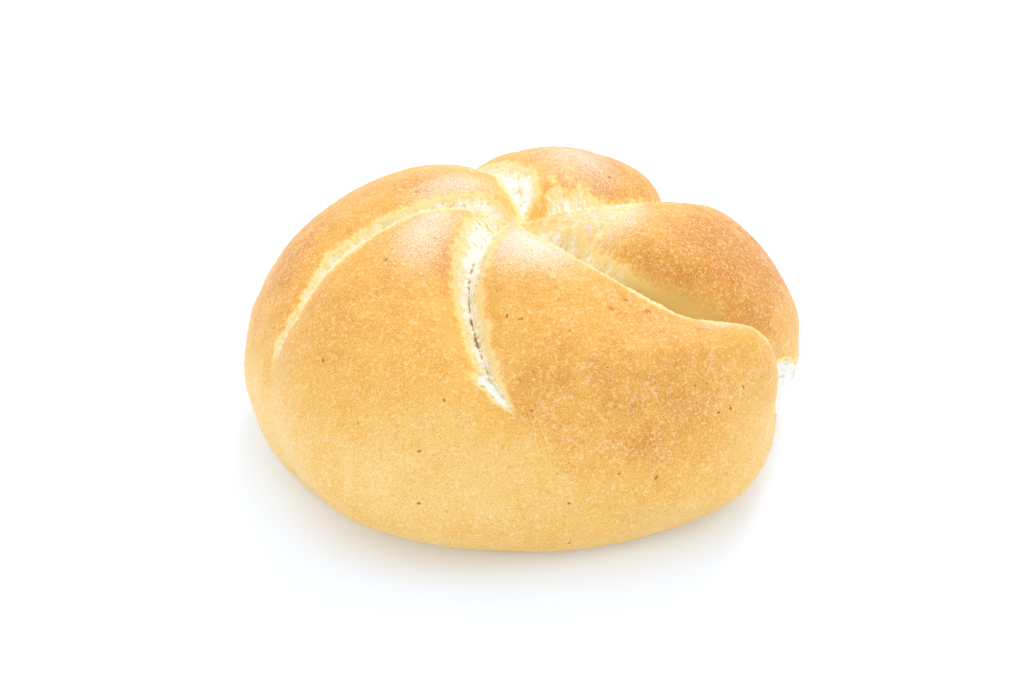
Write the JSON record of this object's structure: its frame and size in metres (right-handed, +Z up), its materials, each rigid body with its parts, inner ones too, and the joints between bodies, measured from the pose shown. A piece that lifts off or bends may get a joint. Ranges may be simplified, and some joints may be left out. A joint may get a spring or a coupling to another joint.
{
  "type": "kaiser roll",
  "caption": "Round crusty wheat bread roll, domed and flat underneath, with curved folds that meet in a hollow on its crown; eaten whole or split for a sandwich.",
  "frame": {"origin": "middle of the flat underside", "axes": "+Z up through the crown, -Y towards the front of the roll, +X to its right as seen from the front"},
  "size_m": [0.1084, 0.111, 0.0518],
  "materials": {
    "crust": "baked wheat crust, golden brown on the tops of the petals and yellower towards the base, satin on top with a fine pale grain, and torn cream-white crumb down the folds"
  },
  "bodies": {
    "root": {"kaiser_roll": "crust"}
  },
  "joints": []
}
